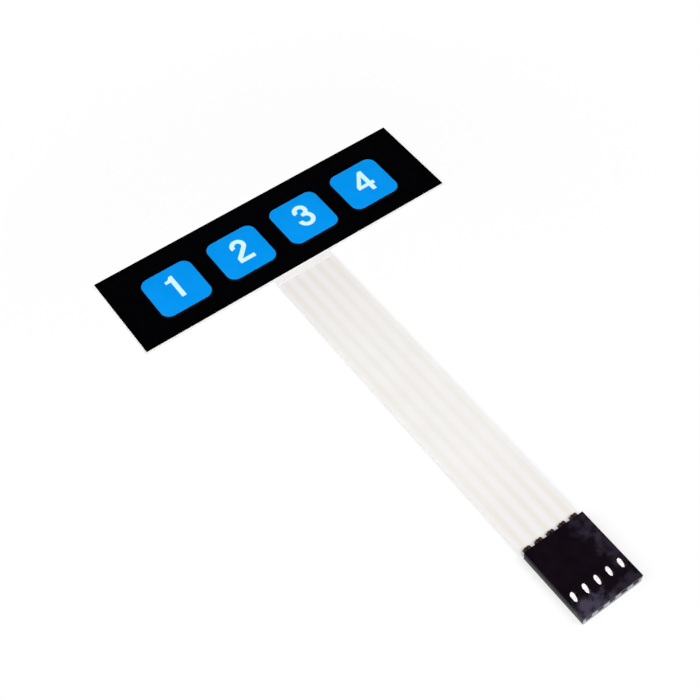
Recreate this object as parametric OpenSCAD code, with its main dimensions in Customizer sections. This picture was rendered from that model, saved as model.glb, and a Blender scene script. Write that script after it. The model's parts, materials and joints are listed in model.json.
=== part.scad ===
// Four-key membrane keypad: a flat laminated panel with raised keys, a flexible flat tail
// and a five-way socket for square header pins.
// X runs along the row of keys, +Y from the connector towards the keys, +Z up.
// The origin is the middle of the panel's back, on the outer face of its release liner.

/* [Panel] */
// Length of the panel, along X
panel_w = 70; // [66:0.5:90]
// Depth of the panel, along Y
panel_d = 20; // [18.5:0.5:30]

/* [Keys] */
// Distance between the middles of neighbouring keys
key_pitch = 14.9; // [13.5:0.1:16]
// Length of one raised key, along X
key_w = 11.4; // [10:0.1:12.5]
// Depth of one raised key, along Y
key_d = 11.2; // [10:0.1:12.5]
// Corner radius of a key, seen from above
key_r = 2.1; // [1:0.1:3]
// Middle of the row of keys along X, negative towards the first key
key_row_x = -0.4; // [-1:0.1:1]
// Middle of the row of keys along Y, negative towards the tail
key_y = -0.7; // [-1.5:0.1:1.5]
// Height of the keys above the panel, and radius of their rounded shoulder
emboss_h = 0.3; // [0.28:0.02:0.5]

/* [Films] */
// Thickness of the printed top film
overlay_t = 0.18; // [0.12:0.01:0.24]
// Thickness of the blue ink on a key
ink_t = 0.02; // [0.01:0.005:0.04]
// Thickness of the adhesive under the top film
top_adhesive_t = 0.1; // [0.05:0.01:0.15]
// Thickness of the spacer round the domes
spacer_t = 0.25; // [0.2:0.01:0.35]
// Thickness of the circuit film, which runs on as the tail
film_t = 0.125; // [0.1:0.005:0.2]
// Thickness of the printed silver conductors
print_t = 0.02; // [0.01:0.005:0.04]
// Thickness of the cover film above the conductors of the tail
cover_t = 0.1; // [0.05:0.01:0.15]
// Thickness of the adhesive on the back
back_adhesive_t = 0.13; // [0.05:0.01:0.2]
// Thickness of the release liner
liner_t = 0.1; // [0.05:0.01:0.15]

/* [Domes] */
// Diameter of a dome over its four feet
dome_d = 8.4; // [7:0.1:9]
// Height of a dome
dome_h = 0.5; // [0.4:0.02:0.56]
// Thickness of the dome's steel
dome_t = 0.07; // [0.05:0.01:0.1]
// Depth by which each side between two feet is cut back
foot_cut = 0.7; // [0.4:0.1:1]
// Clearance round a dome in its pocket
pocket_clear = 0.3; // [0.1:0.05:0.6]
// Width of the air channels between the pockets
vent_w = 1.2; // [0.9:0.1:2]

/* [Circuit] */
// Diameter of the contact pad under a dome
pad_d = 2.6; // [2:0.1:4]
// Width of the ring that the dome's feet stand on
ring_w = 1.2; // [0.8:0.1:1.6]
// Width of a conductor inside the panel
line_w = 0.8; // [0.4:0.1:0.8]
// Bare gap on each side of the conductor where it leaves the ring
line_gap = 0.5; // [0.3:0.1:0.8]
// Width of a conductor on the tail
track_w = 1.27; // [0.9:0.01:1.4]

/* [Tail] */
// Length of the tail between the panel and the connector
tail_l = 74.1; // [30:0.1:150]
// Width of film outside the row of contacts, on each side
tail_margin = 0.1; // [0:0.05:1]
// Length of the spacer's tab on the root of the tail
tab_l = 1.5; // [0.5:0.1:4]
// Distance from the tail's shoulders to the connector
shoulder_gap = 0.3; // [0.1:0.1:0.8]
// Length of tongue past the last prong of the crimps
tongue_past = 0.15; // [0.05:0.05:0.4]
// Distance from the conductors' ends to the end of the tongue
track_inset = 0.1; // [0.05:0.05:0.3]
// Clearance round the tongue in the connector's slot
tongue_clear = 0.1; // [0.05:0.01:0.2]

/* [Connector] */
// Distance between the middles of neighbouring contacts
pitch = 2.54; // [2.4:0.01:3]
// Length of the housing, along Y
housing_l = 14.6; // [13.8:0.1:18]
// Height of the housing
housing_h = 2.54; // [2.5:0.01:3]
// Radius of the housing's long edges
housing_r = 0.2; // [0.05:0.05:0.3]
// Wall above and below the cavities
wall_t = 0.3; // [0.2:0.05:0.4]
// Wall between the cavities and the mating face
front_t = 0.8; // [0.6:0.1:1.2]
// Wall on each side of the slot for the tongue
slot_wall = 0.2; // [0.15:0.01:0.25]
// Width of a cavity
cavity_w = 1.94; // [1.8:0.01:2.1]
// Chamfer round the rear mouth of a cavity
mouth_chamfer = 0.12; // [0.05:0.01:0.14]
// Side of a square pin hole
pin_hole = 1; // [0.8:0.05:1.2]
// Chamfer that leads a pin into its hole
pin_chamfer = 0.25; // [0.1:0.05:0.35]
// Width of a window in the top wall
window_w = 1.1; // [1:0.1:1.5]
// Length of a window, along Y
window_l = 2.1; // [2:0.1:3]
// Distance from the mating face to the middle of the windows
window_setback = 3.8; // [3.4:0.1:4.5]

/* [Contacts] */
// Thickness of the contacts' sheet metal
sheet_t = 0.2; // [0.15:0.01:0.25]
// Length of the box that grips the pin
box_l = 6.3; // [5.5:0.1:6.8]
// Clearance between a box and each side of its cavity
side_clear = 0.07; // [0.03:0.01:0.15]
// Clearance between a box and the roof of its cavity
roof_clear = 0.14; // [0.05:0.01:0.2]
// Clearance between a box and the housing's front wall
end_clear = 0.1; // [0.05:0.05:0.3]
// Clearance between a locking lance and the edge of its window
lance_clear = 0.1; // [0.1:0.05:0.3]
// Depth of the lance's raised end below the top of the housing
lance_sink = 0.12; // [0.05:0.01:0.2]
// Width of the gap cut round the lance in the roof of the box
lance_kerf = 0.08; // [0.05:0.01:0.12]
// Length of a spring leaf inside the box
spring_l = 4.6; // [4:0.1:5]
// Height of a spring leaf
spring_w = 1; // [0.6:0.1:1.1]
// Thickness of a spring leaf
spring_t = 0.14; // [0.1:0.01:0.18]
// Distance by which a leaf bows in from the side of the box
spring_sag = 0.45; // [0.3:0.01:0.55]
// Width of the neck between the box and the crimp
neck_w = 1.2; // [0.8:0.1:1.4]
// Height of the neck's side walls
neck_h = 0.7; // [0.4:0.1:1]
// Width of the crimp
crimp_w = 1.5; // [1.3:0.05:1.6]
// Radius of the rolled prongs' rear corners, seen from above
crimp_round = 0.45; // [0.1:0.05:0.6]
// Gap between the two rolls of a crimp
crimp_split = 0.06; // [0.04:0.01:0.1]
// Length of the crimp that stands out behind the housing
crimp_out = 1; // [0.9:0.1:2]
// Length of one prong of the crimp, along Y
prong_l = 1.1; // [0.8:0.1:1.3]
// Gap between neighbouring prongs
prong_gap = 0.35; // [0.2:0.05:0.5]
// Length of bare crimp floor in front of the last prong
crimp_toe = 0.3; // [0.1:0.1:0.5]
// Clearance round a prong where it pierces the films
pierce_clear = 0.03; // [0.01:0.01:0.05]

/* [Hidden] */

$fn = 48;
tiny = 0.01;

// One conductor for each key, and one that all four share
key_count = 4;
way_count = key_count + 1;
// Prongs on each side of a crimp
prong_count = 4;
// Flat steps in the curve of the tail
rise_steps = 24;
// The domes and springs are shallow pieces of large circles, so these are cut finely
bow_fn = 720;
// Height that is above every layer of the panel and the tail
sheet_top = 6;

black_film = [0.02, 0.02, 0.025];
key_blue = [0, 0.55, 0.92];
clear_adhesive = [0.86, 0.85, 0.8];
milky_film = [0.93, 0.93, 0.92];
silver_print = [0.8, 0.78, 0.74];
spring_steel = [0.72, 0.73, 0.75];
liner_white = [0.95, 0.94, 0.9];
black_plastic = [0.06, 0.055, 0.065];
tinned_bronze = [0.78, 0.76, 0.72];

// Levels of the layers, from the table up
back_adhesive_z = liner_t;
film_z = back_adhesive_z + back_adhesive_t;
print_z = film_z + film_t;
top_adhesive_z = print_z + spacer_t;
overlay_z = top_adhesive_z + top_adhesive_t;
key_top_z = overlay_z + overlay_t + emboss_h;
cover_z = print_z + print_t;
tail_top_z = cover_z + cover_t;

// Places along Y, from the panel to the mating face
root_y = -panel_d / 2;
tab_y = root_y - tab_l;
rear_y = root_y - tail_l;
front_y = rear_y - housing_l;
crimp_y = rear_y + crimp_out;
prong_step = prong_l + prong_gap;
prongs_end_y = crimp_y - prong_count * prong_step + prong_gap;
tongue_y = prongs_end_y - tongue_past;
toe_y = prongs_end_y - crimp_toe;
box_front_y = front_y + front_t + end_clear;
box_rear_y = box_front_y + box_l;
window_y = front_y + window_setback;
shoulder_y = rear_y + shoulder_gap;

// The tail is level as far as the tab's edge, and level again at the crimps
rise_start_y = tab_y;
rise_end_y = crimp_y;
clamp_low_z = wall_t + sheet_t;
film_rise = clamp_low_z - film_z;
clamp_high_z = tail_top_z + film_rise;

// Widths and heights that follow from the fits
housing_w = way_count * pitch;
cavity_h = housing_h - 2 * wall_t;
slot_w = housing_w - 2 * slot_wall;
tongue_w = slot_w - 2 * tongue_clear;
tail_w = housing_w + 2 * tail_margin;
box_w = cavity_w - 2 * side_clear;
box_h = cavity_h - roof_clear;
box_top_z = wall_t + box_h;
lance_w = window_w - 2 * lance_clear;
lance_l = window_l - 2 * lance_clear;
lance_tip_z = housing_h - lance_sink;
roll_r = (crimp_w - crimp_split) / 4;
hollow_w = key_w - 2 * overlay_t;
hollow_d = key_d - 2 * overlay_t;
pocket_d = dome_d + 2 * pocket_clear;
ring_in_r = (dome_d - ring_w) / 2;
ring_out_r = (dome_d + ring_w) / 2;
ring_foot_y = key_y - ring_out_r;
lane_step = (ring_foot_y - root_y) / 3;

// Place of a key, and of a contact, counted from 0 at -X
function key_x(i) = key_row_x + (i - (key_count - 1) / 2) * key_pitch;
function way_x(i) = (i - (way_count - 1) / 2) * pitch;

// Way of the tail that serves a key: the middle one is the shared conductor's
function way_of_key(i) = i < key_count / 2 ? i : i + 1;

// Height by which the tail has risen at y: an easy S between two level ends
function tail_rise(y) =
    let (t = min(1, max(0, (rise_start_y - y) / (rise_start_y - rise_end_y))))
    film_rise * t * t * (3 - 2 * t);

// Places along the tail at which its curve is cut into flat steps
function tail_stations(y0, y1) = concat(
    [y0],
    [for (s = [0 : rise_steps])
        let (y = rise_start_y + (rise_end_y - rise_start_y) * s / rise_steps)
        if (y < y0 - tiny && y > y1 + tiny) y],
    [y1]);

module at_keys() {
    for (i = [0 : key_count - 1]) translate([key_x(i), key_y, 0]) children();
}

module at_ways() {
    for (i = [0 : way_count - 1]) translate([way_x(i), 0, 0]) children();
}

// Rectangle with round corners, about its middle
module rounded_rect(w, d, r) {
    square([w, d - 2 * r], center = true);
    square([w - 2 * r, d], center = true);
    for (x = [-1, 1], y = [-1, 1]) translate([x * (w / 2 - r), y * (d / 2 - r)]) circle(r);
}

// Slot outline with round ends, long along Y
module stadium(w, l) {
    square([w, l - w], center = true);
    for (y = [-1, 1]) translate([0, y * (l - w) / 2]) circle(d = w);
}

// Section of a block from its middle to its side, with a round upper edge
module shoulder_section(reach, h, edge) {
    square([reach, h - edge]);
    square([reach - edge, h]);
    translate([reach - edge, h - edge]) intersection() {
        circle(edge);
        square(edge);
    }
}

// Raised block with round corners and a round upper edge, standing on z = 0
module pillow(w, d, r, h, edge) {
    run_x = w - 2 * r;
    run_y = d - 2 * r;
    translate([-run_x / 2, -run_y / 2, 0]) cube([run_x, run_y, h]);
    for (side = [0, 180]) rotate(side) {
        translate([run_x / 2, run_y / 2, 0])
            rotate([90, 0, 0]) linear_extrude(run_y) shoulder_section(r, h, edge);
        translate([-run_x / 2, run_y / 2, 0])
            rotate([90, 0, 90]) linear_extrude(run_x) shoulder_section(r, h, edge);
        translate([run_x / 2, run_y / 2, 0])
            rotate_extrude(angle = 90) shoulder_section(r, h, edge);
        translate([-run_x / 2, run_y / 2, 0])
            rotate(90) rotate_extrude(angle = 90) shoulder_section(r, h, edge);
    }
}

// Square funnel, wide at z = 0 and narrow at z = depth
module funnel(wide, narrow, depth) {
    side = [[-wide / 2, 0], [wide / 2, 0], [narrow / 2, depth], [-narrow / 2, depth]];
    intersection() {
        rotate([90, 0, 0]) linear_extrude(wide, center = true) polygon(side);
        rotate([90, 0, 90]) linear_extrude(wide, center = true) polygon(side);
    }
}

// A plan outline laid between two levels on the curve of the tail
module layer(z0, z1) {
    ys = tail_stations(panel_d / 2, tongue_y);
    low = [for (y = ys) [y, z0 + tail_rise(y)]];
    high = [for (k = [len(ys) - 1 : -1 : 0]) [ys[k], z1 + tail_rise(ys[k])]];
    intersection() {
        rotate([90, 0, 90]) linear_extrude(panel_w, center = true) polygon(concat(low, high));
        translate([0, 0, -tiny]) linear_extrude(sheet_top) children();
    }
}

module panel_plan() {
    square([panel_w, panel_d], center = true);
}

// Strip of the tail's middle, from y0 down to y1
module strip_plan(w, y0, y1) {
    translate([-w / 2, y1]) square([w, y0 - y1]);
}

// The tail in the open, with its narrower tongue inside the connector
module tail_plan(y0) {
    strip_plan(tail_w, y0, shoulder_y);
    strip_plan(tongue_w, shoulder_y, tongue_y);
}

// Straight conductor between two points that share an x or a y, with square ends
module line_plan(a, b) {
    low = [min(a.x, b.x) - line_w / 2, min(a.y, b.y) - line_w / 2];
    high = [max(a.x, b.x) + line_w / 2, max(a.y, b.y) + line_w / 2];
    translate(low) square(high - low);
}

// Conductor from a lane of the panel to its way and down the tail
module track_plan(way, lane_y) {
    line_plan([way_x(way), lane_y], [way_x(way), root_y + line_w / 2]);
    translate([way_x(way), 0]) strip_plan(track_w, root_y, tongue_y + track_inset);
}

// Pad under a dome, and the conductor from it to its way of the tail
module key_conductor_plan(i) {
    outer_key = i == 0 || i == key_count - 1;
    lane_y = ring_foot_y - lane_step * (outer_key ? 2 : 1);
    translate([key_x(i), key_y]) circle(d = pad_d);
    line_plan([key_x(i), key_y], [key_x(i), lane_y]);
    line_plan([key_x(i), lane_y], [way_x(way_of_key(i)), lane_y]);
    track_plan(way_of_key(i), lane_y);
}

// Rings under the feet of the domes, the bars that join them and the shared conductor
module common_conductor_plan() {
    at_keys() difference() {
        circle(ring_out_r);
        circle(ring_in_r);
        translate([-line_w / 2 - line_gap, -2 * ring_out_r])
            square([line_w + 2 * line_gap, 2 * ring_out_r]);
    }
    for (i = [0 : key_count - 2])
        line_plan([key_x(i) + ring_out_r - line_w / 2, key_y],
                  [key_x(i + 1) - ring_out_r + line_w / 2, key_y]);
    track_plan((way_count - 1) / 2, key_y);
}

module all_conductors_plan() {
    common_conductor_plan();
    for (i = [0 : key_count - 1]) key_conductor_plan(i);
}

// Slits that the prongs of the crimps make in the films
module slits_plan() {
    slit_w = sheet_t + 2 * pierce_clear;
    slit_l = prong_l + 2 * pierce_clear;
    at_ways() for (side = [-1, 1], p = [0 : prong_count - 1])
        translate([side * (crimp_w - sheet_t) / 2, crimp_y - prong_l / 2 - p * prong_step])
            square([slit_w, slit_l], center = true);
}

// Room for the conductors in a layer that lies over them
module conductor_grooves() {
    layer(print_z - tiny, print_z + print_t) all_conductors_plan();
}

// Printed top film, with the four keys embossed in it and hollow beneath
module graphic_overlay() {
    color(black_film) translate([0, 0, overlay_z]) difference() {
        union() {
            linear_extrude(overlay_t) panel_plan();
            at_keys() pillow(key_w, key_d, key_r, overlay_t + emboss_h, emboss_h);
        }
        at_keys() translate([0, 0, -tiny])
            pillow(hollow_w, hollow_d, key_r - overlay_t, emboss_h + tiny, emboss_h - overlay_t);
    }
}

// Fields of blue ink on the flat tops of the keys
module key_print() {
    color(key_blue) translate([0, 0, key_top_z]) at_keys() linear_extrude(ink_t)
        rounded_rect(key_w - 2 * emboss_h, key_d - 2 * emboss_h, key_r - emboss_h);
}

// Adhesive that holds the top film, open under each key
module overlay_adhesive() {
    color(clear_adhesive) translate([0, 0, top_adhesive_z]) linear_extrude(top_adhesive_t)
        difference() {
            panel_plan();
            at_keys() rounded_rect(hollow_w, hollow_d, key_r - overlay_t);
        }
}

// Spacer with a round pocket for each dome, air channels between them and a tab on the tail
module dome_spacer() {
    color(milky_film) difference() {
        layer(print_z, print_z + spacer_t) difference() {
            union() {
                panel_plan();
                strip_plan(tail_w, root_y, tab_y);
            }
            at_keys() circle(d = pocket_d);
            translate([key_x(0), key_y - vent_w / 2])
                square([key_x(key_count - 1) - key_x(0), vent_w]);
        }
        conductor_grooves();
    }
}

// Shallow spherical snap dome that stands on four feet, on the rings of the shared conductor
module snap_dome(i) {
    ball_r = (pow(dome_d / 2, 2) + pow(dome_h, 2)) / (2 * dome_h);
    flat = dome_d - 2 * foot_cut;
    color(spring_steel) translate([key_x(i), key_y, cover_z]) intersection() {
        rotate_extrude() intersection() {
            translate([0, dome_h - ball_r]) difference() {
                circle(ball_r, $fn = bow_fn);
                circle(ball_r - dome_t, $fn = bow_fn);
            }
            square([dome_d, 2 * dome_h]);
        }
        translate([-flat / 2, -flat / 2, -tiny]) cube([flat, flat, 2 * dome_h]);
    }
}

module common_conductor() {
    color(silver_print) layer(print_z, cover_z) difference() {
        common_conductor_plan();
        slits_plan();
    }
}

module key_conductor(i) {
    color(silver_print) layer(print_z, cover_z) difference() {
        key_conductor_plan(i);
        slits_plan();
    }
}

// Film that carries the conductors: the panel's lower layer and the tail are one piece
module circuit_film() {
    color(milky_film) layer(film_z, print_z) difference() {
        union() {
            panel_plan();
            tail_plan(root_y);
        }
        slits_plan();
    }
}

// Cover film on the tail, closed down on the circuit film between the conductors
module tail_cover() {
    color(milky_film) difference() {
        layer(print_z, tail_top_z) difference() {
            tail_plan(tab_y);
            slits_plan();
        }
        conductor_grooves();
    }
}

module back_adhesive() {
    color(clear_adhesive) translate([0, 0, back_adhesive_z])
        linear_extrude(back_adhesive_t) panel_plan();
}

module release_liner() {
    color(liner_white) linear_extrude(liner_t) panel_plan();
}

// Moulded housing: a cavity, a window and a pin hole for each contact, and a slot for the tongue
module connector_housing() {
    mid_z = housing_h / 2;
    hole_z = wall_t + box_h / 2;
    slot_z = clamp_low_z - tongue_clear;
    color(black_plastic) difference() {
        translate([0, rear_y, mid_z]) rotate([90, 0, 0]) linear_extrude(housing_l)
            rounded_rect(housing_w, housing_h, housing_r);
        at_ways() {
            translate([-cavity_w / 2, front_y + front_t, wall_t])
                cube([cavity_w, housing_l, cavity_h]);
            translate([-pin_hole / 2, front_y - tiny, hole_z - pin_hole / 2])
                cube([pin_hole, front_t + 2 * tiny, pin_hole]);
            translate([0, front_y, hole_z]) rotate([-90, 0, 0])
                funnel(pin_hole + 2 * pin_chamfer, pin_hole, pin_chamfer);
            translate([0, window_y, mid_z]) linear_extrude(housing_h) stadium(window_w, window_l);
            translate([0, rear_y, mid_z]) rotate([90, 0, 0])
                funnel(cavity_w + 2 * mouth_chamfer, cavity_w, mouth_chamfer);
        }
        translate([-slot_w / 2, tongue_y - tongue_clear, slot_z])
            cube([slot_w, housing_l, clamp_high_z + tongue_clear - slot_z]);
    }
}

// Spring leaf that bows into the box from the side at +X
module spring_leaf() {
    bow_r = (pow(spring_l / 2, 2) + pow(spring_sag, 2)) / (2 * spring_sag);
    wall_x = box_w / 2 - sheet_t;
    translate([0, (box_front_y + box_rear_y) / 2, wall_t + (box_h - spring_w) / 2])
        linear_extrude(spring_w) intersection() {
            translate([wall_x - spring_sag + bow_r, 0]) difference() {
                circle(bow_r, $fn = bow_fn);
                circle(bow_r - spring_t, $fn = bow_fn);
            }
            translate([0, -spring_l]) square([wall_x + sheet_t / 2, 2 * spring_l]);
        }
}

// Tongue of the box's roof, hinged at its front and raised behind, that locks in the window
module lance() {
    hinge_y = window_y - lance_l / 2;
    tip_y = window_y + lance_l / 2;
    intersection() {
        rotate([90, 0, 90]) linear_extrude(window_w, center = true) polygon([
            [hinge_y - lance_kerf, box_top_z - sheet_t], [hinge_y - lance_kerf, box_top_z],
            [hinge_y, box_top_z], [tip_y, lance_tip_z],
            [tip_y, lance_tip_z - sheet_t], [hinge_y, box_top_z - sheet_t]]);
        union() {
            translate([0, window_y, 0]) linear_extrude(sheet_top) stadium(lance_w, lance_l);
            translate([-lance_w / 4, hinge_y - lance_kerf, 0])
                cube([lance_w / 2, lance_w / 2, sheet_top]);
        }
    }
}

// One rolled prong of the crimp: up through the films, over and down onto them
module prong_section() {
    leg_top_z = clamp_high_z + roll_r;
    outer_x = crimp_w / 2;
    translate([outer_x - sheet_t, wall_t]) square([sheet_t, leg_top_z - wall_t]);
    translate([outer_x - 2 * roll_r, leg_top_z - roll_r]) square([sheet_t, roll_r]);
    translate([outer_x - roll_r, leg_top_z]) intersection() {
        difference() {
            circle(roll_r);
            circle(roll_r - sheet_t);
        }
        translate([-roll_r, 0]) square([2 * roll_r, roll_r]);
    }
}

// Room that the crimp fills: square in and below the films, round at its rear corners above them
module crimp_room() {
    linear_extrude(clamp_high_z) strip_plan(crimp_w, crimp_y, toe_y);
    linear_extrude(sheet_top) {
        strip_plan(crimp_w, crimp_y - crimp_round, toe_y);
        translate([0, crimp_y - crimp_w / 2]) rounded_rect(crimp_w, crimp_w, crimp_round);
    }
}

// Channel between the box and the floor of the crimp
module neck() {
    neck_l = toe_y - box_rear_y;
    translate([0, box_rear_y, 0]) difference() {
        translate([-neck_w / 2, 0, 0]) cube([neck_w, neck_l, neck_h]);
        translate([sheet_t - neck_w / 2, -tiny, sheet_t])
            cube([neck_w - 2 * sheet_t, neck_l + 2 * tiny, neck_h]);
    }
}

// Stamped contact: gripping box, locking lance, neck and crimp, folded from one sheet
module crimp_contact(i) {
    inner_w = box_w - 2 * sheet_t;
    color(tinned_bronze) translate([way_x(i), 0, 0]) {
        difference() {
            translate([-box_w / 2, box_front_y, wall_t]) cube([box_w, box_l, box_h]);
            translate([-inner_w / 2, box_front_y - tiny, wall_t + sheet_t])
                cube([inner_w, box_l + 2 * tiny, box_h - 2 * sheet_t]);
            translate([0, window_y, housing_h / 2]) linear_extrude(housing_h)
                stadium(lance_w + 2 * lance_kerf, lance_l + 2 * lance_kerf);
        }
        lance();
        for (side = [0, 1]) mirror([side, 0, 0]) spring_leaf();
        translate([0, 0, wall_t]) neck();
        translate([-crimp_w / 2, toe_y, wall_t]) cube([crimp_w, crimp_y - toe_y, sheet_t]);
        intersection() {
            for (side = [0, 1], p = [0 : prong_count - 1]) mirror([side, 0, 0])
                translate([0, crimp_y - p * prong_step, 0]) rotate([90, 0, 0])
                    linear_extrude(prong_l) prong_section();
            crimp_room();
        }
    }
}

graphic_overlay();
key_print();
overlay_adhesive();
dome_spacer();
for (i = [0 : key_count - 1])
    snap_dome(i);
common_conductor();
for (i = [0 : key_count - 1])
    key_conductor(i);
circuit_film();
tail_cover();
back_adhesive();
release_liner();
connector_housing();
for (i = [0 : way_count - 1])
    crimp_contact(i);
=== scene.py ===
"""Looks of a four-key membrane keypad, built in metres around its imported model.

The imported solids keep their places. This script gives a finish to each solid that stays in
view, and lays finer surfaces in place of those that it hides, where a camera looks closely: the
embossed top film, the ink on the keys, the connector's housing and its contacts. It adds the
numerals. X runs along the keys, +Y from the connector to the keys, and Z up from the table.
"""

import json
import logging
import math
from collections.abc import Callable, Iterable, Sequence
from dataclasses import dataclass, field, replace
from enum import Enum

import bmesh
import bpy
import numpy as np
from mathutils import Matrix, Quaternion, Vector
from mathutils.geometry import tessellate_polygon

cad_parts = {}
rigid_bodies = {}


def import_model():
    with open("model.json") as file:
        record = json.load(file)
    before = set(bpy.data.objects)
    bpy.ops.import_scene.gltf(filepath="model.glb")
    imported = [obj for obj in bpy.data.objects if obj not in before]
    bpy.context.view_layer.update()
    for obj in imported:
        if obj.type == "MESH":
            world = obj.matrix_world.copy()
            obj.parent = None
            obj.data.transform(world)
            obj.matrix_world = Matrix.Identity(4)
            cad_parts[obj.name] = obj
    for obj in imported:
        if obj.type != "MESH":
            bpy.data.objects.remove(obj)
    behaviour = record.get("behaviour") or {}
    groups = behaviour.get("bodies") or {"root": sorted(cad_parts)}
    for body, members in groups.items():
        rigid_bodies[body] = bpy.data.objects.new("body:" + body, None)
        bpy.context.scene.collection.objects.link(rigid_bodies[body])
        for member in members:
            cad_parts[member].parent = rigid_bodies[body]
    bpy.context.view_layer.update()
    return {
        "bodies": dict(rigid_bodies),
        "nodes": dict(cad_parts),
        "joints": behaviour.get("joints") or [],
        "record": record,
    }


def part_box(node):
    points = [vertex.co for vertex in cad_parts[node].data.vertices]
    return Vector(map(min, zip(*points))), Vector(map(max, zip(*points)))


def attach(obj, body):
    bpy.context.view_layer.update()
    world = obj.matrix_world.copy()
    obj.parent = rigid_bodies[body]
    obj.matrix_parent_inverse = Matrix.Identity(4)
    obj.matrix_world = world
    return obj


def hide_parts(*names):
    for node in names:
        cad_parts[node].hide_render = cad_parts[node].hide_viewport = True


MM = 0.001
WELD = 0.0005 * MM
LOG = logging.getLogger("keypad")

Colour = tuple[float, float, float]
Place = tuple[float, float, float]
Span = tuple[float, float]
Mesh = bpy.types.Mesh
Outputs = bpy.types.bpy_prop_collection
Socket = bpy.types.NodeSocket
Tree = bpy.types.NodeTree


class Slot(Enum):
    """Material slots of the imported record."""

    PRINTED_FILM = "printed_film"
    KEY_INK = "key_ink"
    CLEAR_ADHESIVE = "clear_adhesive"
    MILKY_FILM = "milky_film"
    SILVER_PRINT = "silver_print"
    SPRING_STEEL = "spring_steel"
    LINER_PAPER = "liner_paper"
    HOUSING_PLASTIC = "housing_plastic"
    TINNED_BRONZE = "tinned_bronze"


class Wiring:
    """Adds nodes to one shader tree and joins them."""

    def __init__(self, tree: Tree) -> None:
        """Keeps the tree that the nodes go into, and clears it."""
        self.tree = tree
        tree.nodes.clear()

    def feed(self, socket: Socket, source: object) -> None:
        """Joins an input to another node's output, or sets it to a plain value.

        Args:
            socket: the input.
            source: an output, a number, a vector, or the three parts of a colour.
        """
        if isinstance(source, Socket):
            self.tree.links.new(source, socket)
        elif isinstance(source, tuple) and socket.type == "RGBA":
            socket.default_value = (*source, 1)
        else:
            socket.default_value = source

    def node(self, kind: str, sources: dict[str | int, object], **settings: object) -> Outputs:
        """Adds one node.

        Args:
            kind: the node's type, without its ShaderNode prefix.
            sources: what feeds its inputs, by their names or numbers.
            settings: attributes of the node, such as its operation.

        Returns:
            The outputs of the node.
        """
        made = self.tree.nodes.new("ShaderNode" + kind)
        for name, value in settings.items():
            setattr(made, name, value)
        for key, source in sources.items():
            self.feed(made.inputs[key], source)
        return made.outputs

    def math(self, operation: str, *terms: object) -> Socket:
        """Works out one step of arithmetic on outputs or plain numbers, and returns its output."""
        return self.node("Math", dict(enumerate(terms)), operation=operation)[0]

    def remap(self, value: object, ends: Sequence, to: Sequence = (0, 1)) -> Socket:
        """Carries a value from one range to another with soft ends.

        Args:
            value: output to read.
            ends: where the range begins and ends.
            to: the result at those two places, and beyond them.

        Returns:
            The output with the new value.
        """
        terms = dict(enumerate((value, *ends, *to)))
        return self.node("MapRange", terms, interpolation_type="SMOOTHSTEP")["Result"]

    def mix(self, share: object, first: object, second: object) -> Socket:
        """Mixes two colours by a share from 0 to 1, and returns the mixed colour."""
        return self.node("Mix", {0: share, 6: first, 7: second}, data_type="RGBA")[2]

    def places(self, stretch: Place = (1, 1, 1)) -> Socket:
        """Gives the points of the piece in metres, stretched along X, Y and Z."""
        points = self.node("TexCoord", {})["Object"]
        return self.node("Mapping", {"Vector": points, "Scale": stretch})["Vector"]

    def axes(self, vector: Socket | None = None) -> Outputs:
        """Gives the X, Y and Z of a vector, or else of the points of the piece."""
        return self.node("SeparateXYZ", {0: vector or self.places()})

    def noise(self, size: object, detail: float, stretch: Place = (1, 1, 1)) -> Socket:
        """Gives soft noise.

        Args:
            size: size of its patches in metres.
            detail: how many times finer noise is added.
            stretch: how much the places are stretched along X, Y and Z.

        Returns:
            The output with the noise, from 0 to 1.
        """
        scale = self.math("DIVIDE", 1.0, size)
        sources = {"Vector": self.places(stretch), "Scale": scale, "Detail": detail}
        return self.node("TexNoise", sources)["Fac"]

    def nearest(self, value: object, pitch: object) -> Socket:
        """Gives the whole number of pitches that is nearest to a value."""
        return self.math("MULTIPLY", self.math("ROUND", self.math("DIVIDE", value, pitch)), pitch)

    def oval(self, *pairs: tuple[object, object]) -> Socket:
        """Adds up the squares of two distances, each over its reach: 1 is the edge of an oval."""
        shares = [self.math("DIVIDE", away, reach) for away, reach in pairs]
        return self.math("ADD", *(self.math("MULTIPLY", share, share) for share in shares))


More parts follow.
